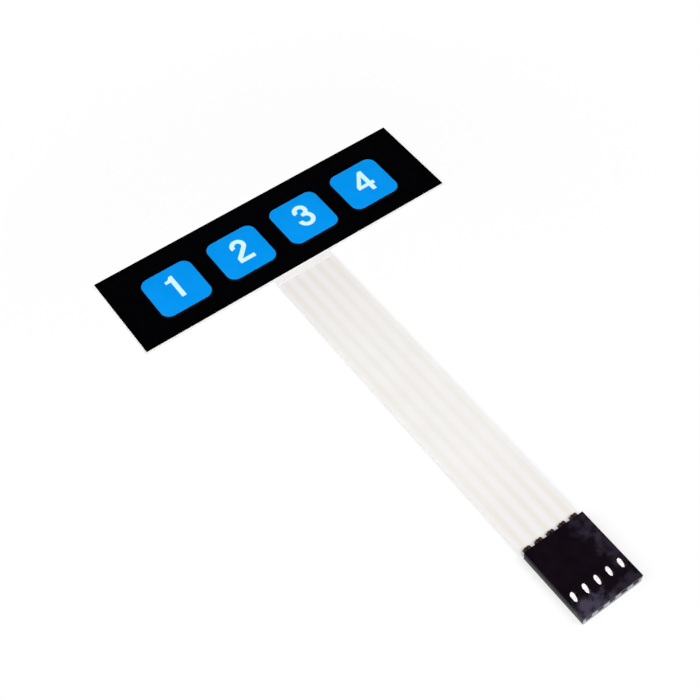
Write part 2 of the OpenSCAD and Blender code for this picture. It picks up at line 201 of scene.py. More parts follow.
@dataclass
class Effects:
    """Node groups that several finishes share. Each is built once, by a rule of its own."""

    mottle_levels: Span = (0.3, 0.7)
    edge_samples: int = 6
    edge_cosines: Span = (0.99, 0.8)
    wear_and_highlight_levels: Span = (0.4, 0.6)
    least_speck: float = 0.3
    cloud_levels: Span = (0.25, 0.75)
    ragged: float = 0.55
    sheen_ends: Span = (1.15, -0.05)
    uneven_levels: Span = (0.7, 0.4)
    least_sheen: float = 0.6

    def __post_init__(self) -> None:
        """Builds the groups. Each input is given with the value that it has by itself."""
        self.grain = self.group("surface grain", self.mottled, Mottle_Size=2 * MM, Relief_Size=0.1 * MM)
        self.edge_wear_and_highlight = self.group("edge wear and highlight", self.wear_and_highlight, Radius=0.1 * MM, Patch_Size=0.6 * MM)
        self.dust = self.group("dust specks", self.speckled, Spacing=1.5 * MM, Speck_Size=0.04 * MM)
        self.lanes = self.group(
            "conductor lanes", self.striped, Pitch=2.54 * MM, Width=1.27 * MM, Blur=0.2 * MM, Start=0
        )
        self.sheen_patch = self.group(
            "painted sheen patch", self.sheen_patched, Middle_X=0, Middle_Y=0, Reach_X=3 * MM, Reach_Y=3 * MM,
            Strength=1, Cloud_Size=1.4 * MM,
        )

    def group(
        self, name: str, rule: Callable[[Wiring, Outputs], dict[str, Socket]], **inputs: float
    ) -> Tree:
        """Builds a node group.

        Args:
            name: name of the group.
            rule: the rule that fills it.
            inputs: its inputs by name, with underscores for spaces.

        Returns:
            The group's tree.
        """
        tree = bpy.data.node_groups.new(name, "ShaderNodeTree")
        wiring = Wiring(tree)
        new_socket, kind = tree.interface.new_socket, "NodeSocketFloat"
        for label, value in inputs.items():
            socket = new_socket(label.replace("_", " "), in_out="INPUT", socket_type=kind)
            socket.default_value = value
        results = rule(wiring, tree.nodes.new("NodeGroupInput").outputs)
        for label in results:
            new_socket(label, in_out="OUTPUT", socket_type=kind)
        end = tree.nodes.new("NodeGroupOutput")
        for label, result in results.items():
            wiring.feed(end.inputs[label], result)
        return tree

    def mottled(self, wiring: Wiring, given: Outputs) -> dict[str, Socket]:
        """Mottling at one size and a finer surface relief, both from 0 to 1.

        Args:
            wiring: wiring of the group.
            given: the group's inputs.

        Returns:
            The group's outputs by name.
        """
        mottle = wiring.remap(wiring.noise(given["Mottle Size"], detail=4), self.mottle_levels)
        return {"Mottle": mottle, "Relief": wiring.noise(given["Relief Size"], detail=2)}

    def wear_and_highlight(self, wiring: Wiring, given: Outputs) -> dict[str, Socket]:
        """Mask that is 1 along edges: the true normal leans away from the rounded one there.

        The arguments are those of mottled().
        """
        rounded = wiring.node("Bevel", {"Radius": given["Radius"]}, samples=self.edge_samples)
        normals = {0: rounded["Normal"], 1: wiring.node("NewGeometry", {})["Normal"]}
        lean = wiring.node("VectorMath", normals, operation="DOT_PRODUCT")["Value"]
        patch = wiring.remap(wiring.noise(given["Patch Size"], detail=4), self.wear_and_highlight_levels)
        return {"Mask": wiring.math("MULTIPLY", wiring.remap(lean, self.edge_cosines), patch)}

    def speckled(self, wiring: Wiring, given: Outputs) -> dict[str, Socket]:
        """Mask of fine specks: a round dot in some cells of a scattered pattern.

        The arguments are those of mottled().
        """
        scale = wiring.math("DIVIDE", 1.0, given["Spacing"])
        cells = wiring.node("TexVoronoi", {"Vector": wiring.places(), "Scale": scale})
        draw = wiring.node("SeparateColor", {"Color": cells["Color"]})["Red"]
        share = wiring.math("DIVIDE", given["Speck Size"], given["Spacing"])
        reach = wiring.math("MULTIPLY", share, wiring.remap(draw, (self.least_speck, 1)))
        return {"Mask": wiring.math("LESS_THAN", cells["Distance"], reach)}

    def striped(self, wiring: Wiring, given: Outputs) -> dict[str, Socket]:
        """Mask of the conductors seen through film: 1 near each whole number of pitches along X.

        The arguments are those of mottled().
        """
        at = wiring.axes()
        middle = wiring.nearest(at["X"], given["Pitch"])
        away = wiring.math("ABSOLUTE", wiring.math("SUBTRACT", at["X"], middle))
        half = wiring.math("MULTIPLY", given["Width"], 0.5)
        sides = [wiring.math(step, half, given["Blur"]) for step in ("ADD", "SUBTRACT")]
        past = wiring.math("SUBTRACT", given["Start"], at["Y"])
        along = wiring.remap(past, (0, given["Blur"]))
        return {"Mask": wiring.math("MULTIPLY", wiring.remap(away, sides), along)}

    def sheen_patched(self, wiring: Wiring, given: Outputs) -> dict[str, Socket]:
        """Mask of a cloudy patch of painted sheen, fading to an oval's ragged edge and uneven.

        Cloud is added to the sum that is 1 on the oval's edge, so the edge wanders. The arguments
        are those of mottled().
        """
        at = wiring.axes()
        off_x, off_y = (wiring.math("SUBTRACT", at[axis], given["Middle " + axis]) for axis in "XY")
        reach = wiring.oval((off_x, given["Reach X"]), (off_y, given["Reach Y"]))
        cloud = wiring.noise(given["Cloud Size"], detail=3)
        wander = wiring.remap(cloud, self.cloud_levels, (-self.ragged, self.ragged))
        near = wiring.remap(wiring.math("ADD", reach, wander), self.sheen_ends)
        even = wiring.remap(cloud, self.uneven_levels, (self.least_sheen, 1))
        uneven = wiring.math("MULTIPLY", near, even)
        return {"Mask": wiring.math("MULTIPLY", uneven, given["Strength"])}


class Paint(Wiring):
    """Wiring of one material, with the shared effects at hand."""

    def __init__(self, tree: Tree, effects: Effects) -> None:
        """Keeps the material's tree and the effects."""
        super().__init__(tree)
        self.effects = effects

    def effect(self, group: Tree, **values: object) -> Outputs:
        """Puts a shared effect into the material.

        Args:
            group: the effect.
            values: its inputs by name, with underscores for spaces.

        Returns:
            The effect's outputs.
        """
        sources = {name.replace("_", " "): value for name, value in values.items()}
        return self.node("Group", sources, node_tree=group)


@dataclass(frozen=True)
class Finish:
    """Finish of one material: two shades that mottle, with fine relief, dust and worn edges,
    whose colour on some finishes is also a painted highlight.

    Colours are linear, and sizes are in metres.
    """

    name: str
    slot: Slot
    shade: Colour
    mottle: Colour
    mottle_size: float = 2 * MM
    roughness: Span = (0.3, 0.4)
    relief_size: float = 0.1 * MM
    relief_depth: float = 0.002 * MM
    metallic: float = 0.0
    specular: float = 0.5
    coat_roughness: float = 0.03
    dust: Colour | None = None
    wear_and_highlight: Colour | None = None
    wear_and_highlight_radius: float = 0.08 * MM

    def colour(self, paint: Paint, grain: Outputs) -> Socket:
        """Works out the surface colour.

        Args:
            paint: wiring of the material.
            grain: outputs of the grain effect in this material.

        Returns:
            The output that feeds the shader's base colour.
        """
        return paint.mix(grain["Mottle"], self.shade, self.mottle)

    def rough(self, paint: Paint, grain: Outputs) -> Socket:
        """Gives the roughness, which follows the mottling."""
        return paint.remap(grain["Mottle"], (0, 1), self.roughness)

    def coat(self, paint: Paint) -> Socket | float:
        """Gives the weight of the coat. A plain finish has none."""
        return 0.0

    def material(self, effects: Effects) -> bpy.types.Material:
        """Builds the material.

        Args:
            effects: the shared node groups.

        Returns:
            A new node material.
        """
        made = bpy.data.materials.new(self.name)
        made.use_nodes = True
        paint = Paint(made.node_tree, effects)
        grain = paint.effect(
            effects.grain, Mottle_Size=self.mottle_size, Relief_Size=self.relief_size
        )
        colour = self.colour(paint, grain)
        # Edge colour: wear, and on the plastic also a painted highlight along its edges.
        if self.wear_and_highlight:
            edges = paint.effect(effects.edge_wear_and_highlight, Radius=self.wear_and_highlight_radius)
            colour = paint.mix(edges["Mask"], colour, self.wear_and_highlight)
        if self.dust:
            colour = paint.mix(paint.effect(effects.dust)["Mask"], colour, self.dust)
        bump = paint.node("Bump", {"Distance": self.relief_depth, "Height": grain["Relief"]})
        shader = paint.node(
            "BsdfPrincipled",
            {
                "Base Color": colour, "Roughness": self.rough(paint, grain),
                "Metallic": self.metallic, "Specular IOR Level": self.specular,
                "Normal": bump["Normal"], "Coat Weight": self.coat(paint),
                "Coat Roughness": self.coat_roughness,
            },
        )
        paint.node("OutputMaterial", {"Surface": shader["BSDF"]})
        return made


@dataclass(frozen=True)
class LanedFilm(Finish):
    """Milky film with conductors that show faintly through it.

    They show best where the film is held flat, at the panel and at the connector. Towards both
    ends of the tail the film is also darker, as painted shade.
    """

    lane: Colour = (0.82, 0.782, 0.732)
    lane_share: float = 0.94
    lane_width: float = 1.1 * MM
    lane_blur: float = 0.45 * MM
    lane_start: float = -11.5 * MM
    faint: float = 0.43
    clear_ends: tuple[Span, Span] = ((-30 * MM, -13 * MM), (-62 * MM, -80 * MM))
    # Painted shade: the colour that darkens the film towards both ends of the tail.
    shaded: Colour = (0.862, 0.842, 0.84)
    shaded_ends: tuple[Span, Span] = ((-34 * MM, -12 * MM), (-55 * MM, -82 * MM))

    def colour(self, paint: Paint, grain: Outputs) -> Socket:
        """Mottles the film and lays the lanes over it. The arguments are those of Finish."""
        y = paint.axes()["Y"]
        # Painted shade: the film darkens towards both ends of the tail.
        shaded_share = paint.math("MAXIMUM", *(paint.remap(y, end) for end in self.shaded_ends))
        film = paint.mix(shaded_share, super().colour(paint, grain), self.shaded)
        clear = (paint.remap(y, end, (self.faint, 1)) for end in self.clear_ends)
        lanes = paint.effect(
            paint.effects.lanes, Width=self.lane_width, Blur=self.lane_blur, Start=self.lane_start
        )
        shown = paint.math("MULTIPLY", lanes["Mask"], paint.math("MAXIMUM", *clear))
        return paint.mix(shown, film, paint.mix(self.lane_share, film, self.lane))


@dataclass(frozen=True)
class PlasticWithPaintedLight(Finish):
    """Moulded plastic with cloudy patches of painted sheen, and a polished end face whose lower
    half carries a painted reflection.

    A patch is given as the X and Y of its middle, its reach along both and its strength.
    """

    # Colour of the painted sheen patches.
    painted_sheen: Colour = (0.055, 0.047, 0.075)
    sheen_patches: tuple[tuple[float, float, float, float, float], ...] = (
        (-4.2 * MM, -98 * MM, 4.4 * MM, 2.8 * MM, 1.0),
        (3 * MM, -98.3 * MM, 5 * MM, 1.4 * MM, 0.3),
        (4.6 * MM, -86.6 * MM, 3 * MM, 2.8 * MM, 0.3),
        (5.8 * MM, -91.5 * MM, 2.6 * MM, 5 * MM, 0.3),
    )
    # Colour of the painted reflection that lightens the lower half of the end face.
    face_reflection: Colour = (0.33, 0.355, 0.4)
    reflection_cloud: float = 0.8 * MM
    reflection_cloud_levels: Span = (0.3, 0.6)
    reflection_least: float = 0.6
    reflection_levels: Span = (2.54 * MM, 1.2 * MM)
    face_y: float = -98.6 * MM
    top_z: float = 2.54 * MM
    top_skin: float = 0.02 * MM
    side_low: float = 0.2 * MM
    gloss: Span = (0.3, 0.75)

    def colour(self, paint: Paint, grain: Outputs) -> Socket:
        """Mottles the plastic, and adds each patch of painted sheen and a painted reflection over
        the lower half of the end face.

        The arguments are those of Finish.
        """
        plastic = super().colour(paint, grain)
        # Painted sheen: a bluish patch of reflected light at each listed place.
        for x, y, reach_x, reach_y, strength in self.sheen_patches:
            patch = paint.effect(
                paint.effects.sheen_patch, Middle_X=x, Middle_Y=y, Reach_X=reach_x, Reach_Y=reach_y,
                Strength=strength,
            )
            plastic = paint.mix(patch["Mask"], plastic, self.painted_sheen)
        # Painted reflection: the lower half of the end face is lightened unevenly.
        cloud = paint.noise(self.reflection_cloud, detail=4)
        even = paint.remap(cloud, self.reflection_cloud_levels, (self.reflection_least, 1))
        return paint.mix(paint.math("MULTIPLY", even, self.low_on_face(paint)), plastic, self.face_reflection)

    def low_on_face(self, paint: Paint) -> Socket:
        """Gives a mask of the end face that the pins enter: 0 at its top and 1 low down."""
        face = paint.math("LESS_THAN", paint.axes()["Y"], self.face_y)
        return paint.math("MULTIPLY", face, paint.remap(paint.axes()["Z"], self.reflection_levels))

    def coat(self, paint: Paint) -> Socket | float:
        """Gives the coat's weight: thin on top, thick low on the end face, and less up the sides.

        The argument is that of Finish.
        """
        z = paint.axes()["Z"]
        top = paint.remap(z, (self.top_z - self.top_skin, self.top_z), (0, self.gloss[0]))
        side = paint.remap(z, (self.side_low, self.top_z), (self.gloss[1], 0))
        return paint.math("MAXIMUM", paint.math("MAXIMUM", top, side), self.low_on_face(paint))


@dataclass(frozen=True)
class CrimpedTin(Finish):
    """Tin, painted with a highlight on the lance and with shade round it.

    The crimp's brown is painted shade too.
    """

    pitch: float = 2.54 * MM
    # Painted highlight: the lit oval on the lance.
    lance_highlight: Colour = (0.38, 0.355, 0.365)
    lance_highlight_ends: Span = (1.2, 0.75)
    # Painted shade: the dark ring round the lance, where the window shades it.
    window_shade: Colour = (0.012, 0.009, 0.01)
    window_shade_ends: Span = (3.2, 2.2)
    oval: Span = (0.44 * MM, 0.94 * MM)
    oval_middle: Span = (-0.12 * MM, -94.9 * MM)
    oval_lean: float = 0.14
    # Painted shade: the dark brown colour of the crimp.
    crimp_shade: Colour = (0.066, 0.041, 0.039)
    browns: Span = (-91 * MM, -88.5 * MM)
    dulled: float = 0.3

    def colour(self, paint: Paint, grain: Outputs) -> Socket:
        """Mottles the tin, paints a highlight in an oval on the lance with painted shade round it,
        and darkens the crimp to brown as painted shade.

        The oval leans: its middle moves along X as Y grows. The arguments are those of Finish.
        """
        at = paint.axes()
        along = paint.math("SUBTRACT", at["Y"], self.oval_middle[1])
        middle = paint.math("ADD", paint.nearest(at["X"], self.pitch), self.oval_middle[0])
        leant = paint.math("ADD", middle, paint.math("MULTIPLY", along, self.oval_lean))
        across = paint.math("SUBTRACT", at["X"], leant)
        reach = paint.oval((across, self.oval[0]), (along, self.oval[1]))
        metal = super().colour(paint, grain)
        # Painted shade: a dark ring round the lance.
        metal = paint.mix(paint.remap(reach, self.window_shade_ends), metal, self.window_shade)
        # Painted highlight: a lit oval on the lance.
        metal = paint.mix(paint.remap(reach, self.lance_highlight_ends), metal, self.lance_highlight)
        # Painted shade: the crimp is darkened to brown.
        return paint.mix(self.at_crimp(paint), metal, self.crimp_shade)

    def at_crimp(self, paint: Paint) -> Socket:
        """Gives a mask that is 0 at the box and 1 at the crimp."""
        return paint.remap(paint.axes()["Y"], self.browns)

    def rough(self, paint: Paint, grain: Outputs) -> Socket:
        """Gives the roughness, which grows from the box to the dull crimp."""
        more = paint.math("MULTIPLY", self.at_crimp(paint), self.dulled)
        return paint.math("ADD", super().rough(paint, grain), more)


@dataclass(frozen=True)
class StretchedFilm(Finish):
    """Film that is duller where embossing has stretched it, on the slopes round each key."""

    dulls: Span = (0.99, 0.9)
    dulled: float = 0.6

    def lean(self, paint: Paint) -> Socket:
        """Gives the upward part of the surface's normal: 1 where it is level."""
        return paint.axes(paint.node("TexCoord", {})["Normal"])["Z"]

    def rough(self, paint: Paint, grain: Outputs) -> Socket:
        """Gives the roughness, which grows on the slopes."""
        slope = paint.remap(self.lean(paint), self.dulls, (0, self.dulled))
        return paint.math("ADD", super().rough(paint, grain), slope)


@dataclass(frozen=True)
class ThinnedInk(StretchedFilm):
    """Ink that thins out and darkens where the film under it turns down."""

    thin: Colour = (0.0, 0.03, 0.12)
    thins: Span = (0.985, 0.8)

    def colour(self, paint: Paint, grain: Outputs) -> Socket:
        """Mottles the ink, and darkens it as the upward part of its normal falls."""
        thinned = paint.remap(self.lean(paint), self.thins)
        return paint.mix(thinned, super().colour(paint, grain), self.thin)


@dataclass(frozen=True)
class LinerPaper(Finish):
    """Paper with long fine fibres."""

    fibre: Colour = (0.82, 0.8, 0.74)
    fibre_stretch: Place = (1, 0.12, 1)
    fibre_size: float = 0.25 * MM
    fibre_levels: Span = (0.52, 0.75)

    def colour(self, paint: Paint, grain: Outputs) -> Socket:
        """Mottles the paper and darkens thin streaks of it. The arguments are those of Finish."""
        noise = paint.noise(self.fibre_size, detail=6, stretch=self.fibre_stretch)
        streaks = paint.remap(noise, self.fibre_levels)
        return paint.mix(streaks, super().colour(paint, grain), self.fibre)


class Workshop:
    """Makes pieces and dresses them, with one material for each finish."""

    def __init__(self, frame: dict) -> None:
        """Builds the shared effects, and starts with no material.

        Args:
            frame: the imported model.
        """
        self.packed = frame["nodes"]
        self.effects = Effects()
        self.materials: dict[str, bpy.types.Material] = {}

    def dress(self, piece: bpy.types.Object, finish: Finish) -> None:
        """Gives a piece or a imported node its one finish.

        Args:
            piece: what is dressed.
            finish: its finish.
        """
        if finish.name not in self.materials:
            self.materials[finish.name] = finish.material(self.effects)
        piece.data.materials.clear()
        piece.data.materials.append(self.materials[finish.name])

    def dress_nodes(self, finish: Finish, nodes: Iterable[str]) -> None:
        """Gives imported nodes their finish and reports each.

        Args:
            finish: their finish.
            nodes: their names.
        """
        for node in nodes:
            self.dress(self.packed[node], finish)
            LOG.info("%s keeps its solid, in %s", node, finish.name)

    def piece(self, name: str, mesh: Mesh, finish: Finish, *replaced: str) -> bpy.types.Object:
        """Puts a finished mesh into the scene as a piece of the keypad.

        Args:
            name: name of the piece.
            mesh: its mesh, already in place.
            finish: its finish.
            replaced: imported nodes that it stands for.

        Returns:
            The piece's object, which rides on the keypad's one body.
        """
        made = bpy.data.objects.new(name, mesh)
        bpy.context.scene.collection.objects.link(made)
        self.dress(made, finish)
        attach(made, "root")
        if replaced:
            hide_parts(*replaced)
        LOG.info("%s: %d faces, in %s", name, len(mesh.polygons), finish.name)
        return made


def smooth(mesh: Mesh, crease_deg: float) -> None:
    """Shades a mesh smoothly, apart from the edges that turn by more than an angle."""
    mesh.polygons.foreach_set("use_smooth", [True] * len(mesh.polygons))
    mesh.set_sharp_from_angle(angle=math.radians(crease_deg))


@dataclass
class Shell:
    """Points and faces of a mesh, which grows part by part."""

    crease_deg: float = 40
    points: list[np.ndarray] = field(default_factory=list)
    faces: list[Sequence[int]] = field(default_factory=list)

    def add(self, points: np.ndarray) -> int:
        """Adds points, one row each.

        Args:
            points: the points, in metres.

        Returns:
            The number of the first one.
        """
        first = sum(len(part) for part in self.points)
        self.points.append(points)
        return first

    def loft(self, rings: np.ndarray, capped: Sequence[int]) -> int:
        """Adds closed rings of points, and the faces between each ring and the next.

        Args:
            rings: the points, rings by points by 3.
            capped: the rings that a face closes: 0 is the first, and -1 the last.

        Returns:
            The number of the first point.
        """
        rows, count = rings.shape[:2]
        first = self.add(rings.reshape(-1, 3))
        row = np.arange(rows - 1)[:, None] * count + first
        spot = np.arange(count)
        after = (spot + 1) % count
        corners = [row + spot, row + after, row + count + after, row + count + spot]
        self.faces += np.stack(corners, -1).reshape(-1, 4).tolist()
        for ring in capped:
            self.faces.append((np.arange(count) + first + ring % rows * count).tolist())
        return first

    def walls(self, top: int, under: int, kept: np.ndarray) -> None:
        """Joins two closed rings by upright faces.

        Args:
            top: number of the upper ring's first point.
            under: number of the lower ring's first point.
            kept: for each point of a ring, whether a face follows it.
        """
        spot = np.arange(len(kept))
        after = (spot + 1) % len(kept)
        faces = np.stack([top + spot, top + after, under + after, under + spot], 1)
        self.faces += faces[kept].tolist()

    def mesh(self, name: str) -> Mesh:
        """Makes the mesh: points that coincide are joined, and faces are turned outward.

        Args:
            name: name of the mesh.

        Returns:
            The mesh, smooth between creases.
        """
        made = bpy.data.meshes.new(name)
        made.from_pydata(np.concatenate(self.points).tolist(), [], self.faces)
        work = bmesh.new()
        work.from_mesh(made)
        bmesh.ops.remove_doubles(work, verts=work.verts, dist=WELD)
        bmesh.ops.recalc_face_normals(work, faces=work.faces)
        work.to_mesh(made)
        work.free()
        smooth(made, self.crease_deg)
        return made


@dataclass(frozen=True)
class KeyOutline:
    """Rectangle with round corners, which grows and shrinks by an even margin."""

    half_width: float
    half_depth: float
    radius: float
    corner_steps: int = 16

    @property
    def inset(self) -> np.ndarray:
        """Middle of the round corner at +X +Y."""
        return np.array([self.half_width - self.radius, self.half_depth - self.radius])

    def ring(self, margin: float, level: float) -> np.ndarray:
        """Gives the outline at a margin and a level.

        Each corner is a quarter circle, of the radius plus the margin, about a fixed middle.

        Args:
            margin: distance outward from the outline, or inward if negative.
            level: height of the ring.

        Returns:
            Points, one row each, counterclockwise from the corner at +X +Y.
        """
        turn = np.linspace(0, math.pi / 2, self.corner_steps + 1)
        first = np.stack([np.cos(turn), np.sin(turn)], 1) * (self.radius + margin) + self.inset
        second = first[::-1] * [-1, 1]
        flat = np.concatenate([first, second, -first, -second])
        return np.column_stack([flat, np.full(len(flat), level)])

    def frame_ring(self, low: Span, high: Span, level: float) -> np.ndarray:
        """Spreads the outline's points over a square-cornered rectangle around it.

        The middle point of each round corner goes to the rectangle's corner, and the points on
        either side of it run evenly along the two sides to where the straight stretch begins.

        Args:
            low: lowest X and Y of the rectangle, counted from the outline's middle.
            high: highest X and Y.
            level: height of the ring.

        Returns:
            As many points as ring() gives, in the same order.
        """
        share = np.linspace(0, 2, self.corner_steps + 1)
        moved = np.column_stack([np.clip(share - 1, 0, 1), 1 - np.clip(share, 0, 1)])
        corners = []
        for index, (x, y) in enumerate(((1, 1), (-1, 1), (-1, -1), (1, -1))):
            reach = np.where(np.array([x, y]) > 0, high, -np.array(low))
            side = reach + (self.inset - reach) * moved
            corners.append((side[::-1] if index % 2 else side) * [x, y])
        flat = np.concatenate(corners)
        return np.column_stack([flat, np.full(len(flat), level)])


@dataclass(frozen=True)
class Shoulder:
    """Section of the embossed step: a hollow arc at its foot that runs into a round upper arc."""

    height: float
    foot_radius: float
    top_radius: float
    steps: int = 8

    def upper(self, slope: float, proud: np.ndarray | float = 0.0) -> np.ndarray:
        """Gives the upper arc from a slope up to level.

        Args:
            slope: slope at which it starts.
            proud: distance by which the points stand off the surface.

        Returns:
            Rows of distance out from the flat top's edge, and height above the arc's middle level.
        """
        turn = np.linspace(slope, 0, self.steps + 1)
        reach = self.top_radius + proud
        return np.column_stack([reach * np.sin(turn), reach * np.cos(turn)])

    def section(self) -> np.ndarray:
        """Gives the whole section from its foot to its top.

        The arcs meet at the steepest slope, whose cosine is 1 less the height over both radii.

        Returns:
            Rows of distance out from the flat top's edge, and height above the foot.
        """
        both = self.foot_radius + self.top_radius
        slope = math.acos(1 - self.height / both)
        turn = np.linspace(0, slope, self.steps + 1)[:-1]
        out = both * math.sin(slope) - self.foot_radius * np.sin(turn)
        foot = np.column_stack([out, self.foot_radius * (1 - np.cos(turn))])
        return np.concatenate([foot, self.upper(slope) + [0, self.height - self.top_radius]])


class Figure(Enum):
    """The numerals on the keys."""

    ONE = 1
    TWO = 2
    THREE = 3
    FOUR = 4


def arc(x: float, y: float, radius: float, start_deg: float, end_deg: float) -> np.ndarray:
    """Gives points about every 4 degrees along an arc about (x, y), from one angle to another."""
    turn = np.radians(np.linspace(start_deg, end_deg, round(abs(end_deg - start_deg) / 4) + 1))
    return np.column_stack([x + radius * np.cos(turn), y + radius * np.sin(turn)])


@dataclass(frozen=True)
class Numerals:
    """Bold upright numerals, drawn in millimetres with their baseline on y = 0.

    The method of each figure returns its outer outline, and its counter's if it has one.
    """

    height: float = 5.82
    stroke: float = 0.96
    spread: float = 0.1
    step: float = 0.06

    def one(self) -> list[np.ndarray]:
        """A stem with a flag whose upper edge is hollow."""
        flag_left, flag_top, flag_low = -1.3, self.height - 0.75, self.height - 1.45
        right = 0.72
        left = right - self.stroke
        hollow = arc(flag_left, self.height + 0.45, 1.35, -20, -88)
        stem = [(left, 0), (right, 0), (right, self.height)]
        flag = [(flag_left, flag_top), (flag_left, flag_low), (left, flag_low)]
        return [np.concatenate([stem, hollow[hollow[:, 1] > flag_top], flag])]

    def two(self) -> list[np.ndarray]:
        """A bowl that runs at 45 degrees into a straight diagonal, on a flat foot."""
        left, middle, right, foot = -1.6, 0.17, 1.88, 0.9
        reach = 1.66
        inner = reach - self.stroke
        bowl_y = self.height - reach
        bowl = [arc(middle, bowl_y, reach, -45, 196), arc(middle, bowl_y, inner, 196, -45)]
        start, end = bowl[0][0], bowl[1][-1]
        under = [(left, 0), (right, 0), (right, foot), (start[0] - start[1] + foot, foot)]
        return [np.concatenate([under, *bowl, [(left, end[1] - end[0] + left)]])]

    def three(self) -> list[np.ndarray]:
        """Two bowls, one above the other, that meet in a short bar and a notch at the right."""
        upper, lower = 1.6, 1.82
        upper_in, lower_in = upper - self.stroke, lower - self.stroke
        upper_y, lower_y = self.height - upper, lower
        middle, bar_left = 0.18, -0.15
        gap = upper_y - lower_y
        down = (upper**2 - lower**2 + gap**2) / (2 * gap)
        side = math.sqrt(upper**2 - down**2)
        notch_up, notch_low = np.degrees(np.arctan2([-down, gap - down], side))
        outline = [
            arc(middle, upper_y, upper, 196, notch_up),
            arc(middle, lower_y, lower, notch_low, -186),
            arc(middle, lower_y, lower_in, -186, 90),
            [(bar_left, lower_y + lower_in), (bar_left, upper_y - upper_in)],
            arc(middle, upper_y, upper_in, -90, 196),
        ]
        return [np.concatenate(outline)]

    def four(self) -> list[np.ndarray]:
        """A slanting stroke, a bar and a stem, round a three-cornered counter."""
        left, right, low, high = -1.88, 2.08, 1.42, 2.28
        stem_right = 1.46
        stem_left = stem_right - self.stroke
        outside = [
            (stem_left, 0), (stem_right, 0), (stem_right, low), (right, low), (right, high),
            (stem_right, high), (stem_right, self.height), (stem_left + 0.08, self.height),
            (left, high + 0.06), (left, low), (stem_left, low),
        ]
        counter = [(stem_left, high), (stem_left, 4.28), (-0.86, high)]
        return [np.array(outside), np.array(counter)]

    def inked(self, outline: np.ndarray) -> np.ndarray:
        """Rounds an outline's corners as spreading ink does.

        The outline is cut into even steps, and each point becomes the mean of those around it,
        weighted by a bell curve along the outline.

        Args:
            outline: corners of a closed outline.

        Returns:
            The rounded outline.
        """
        closed = np.vstack([outline, outline[:1]])
        run = np.concatenate([[0], np.cumsum(np.linalg.norm(np.diff(closed, axis=0), axis=1))])
        count = round(run[-1] / self.step)
        even = np.linspace(0, run[-1], count, endpoint=False)
        points = np.column_stack([np.interp(even, run, closed[:, axis]) for axis in (0, 1)])
        lag = np.arange(count)
        lag = np.minimum(lag, count - lag) * self.step
        weight = np.exp(-0.5 * (lag / self.spread) ** 2)
        bell = np.fft.fft(weight / weight.sum())[:, None]
        return np.real(np.fft.ifft(np.fft.fft(points, axis=0) * bell, axis=0))

    def plate(self, figure: Figure, middle: Place, sunk: float, proud: float) -> Mesh:
        """Makes a numeral as a thin closed plate.

        Args:
            figure: which numeral.
            middle: place of the middle of its height, on the surface that carries it.
            sunk: depth of its underside below that surface.
            proud: height of its face above that surface.

        Returns:
            The plate's mesh.
        """
        drawn = dict(zip(Figure, (self.one, self.two, self.three, self.four)))
        loops = [self.inked(outline) for outline in drawn[figure]()]
        flat = np.concatenate(loops) * MM + [middle[0], middle[1] - self.height / 2 * MM]
        count = len(flat)
        shell = Shell()
        for z in (proud, -sunk):
            shell.add(np.column_stack([flat, np.full(count, middle[2] + z)]))
        face = [list(part) for part in tessellate_polygon([loop.tolist() for loop in loops])]
        shell.faces += face + [[corner + count for corner in reversed(part)] for part in face]
        first = 0
        for loop in loops:
            shell.walls(first, first + count, np.ones(len(loop), bool))
            first += len(loop)
        return shell.mesh(f"numeral_{figure.value}")


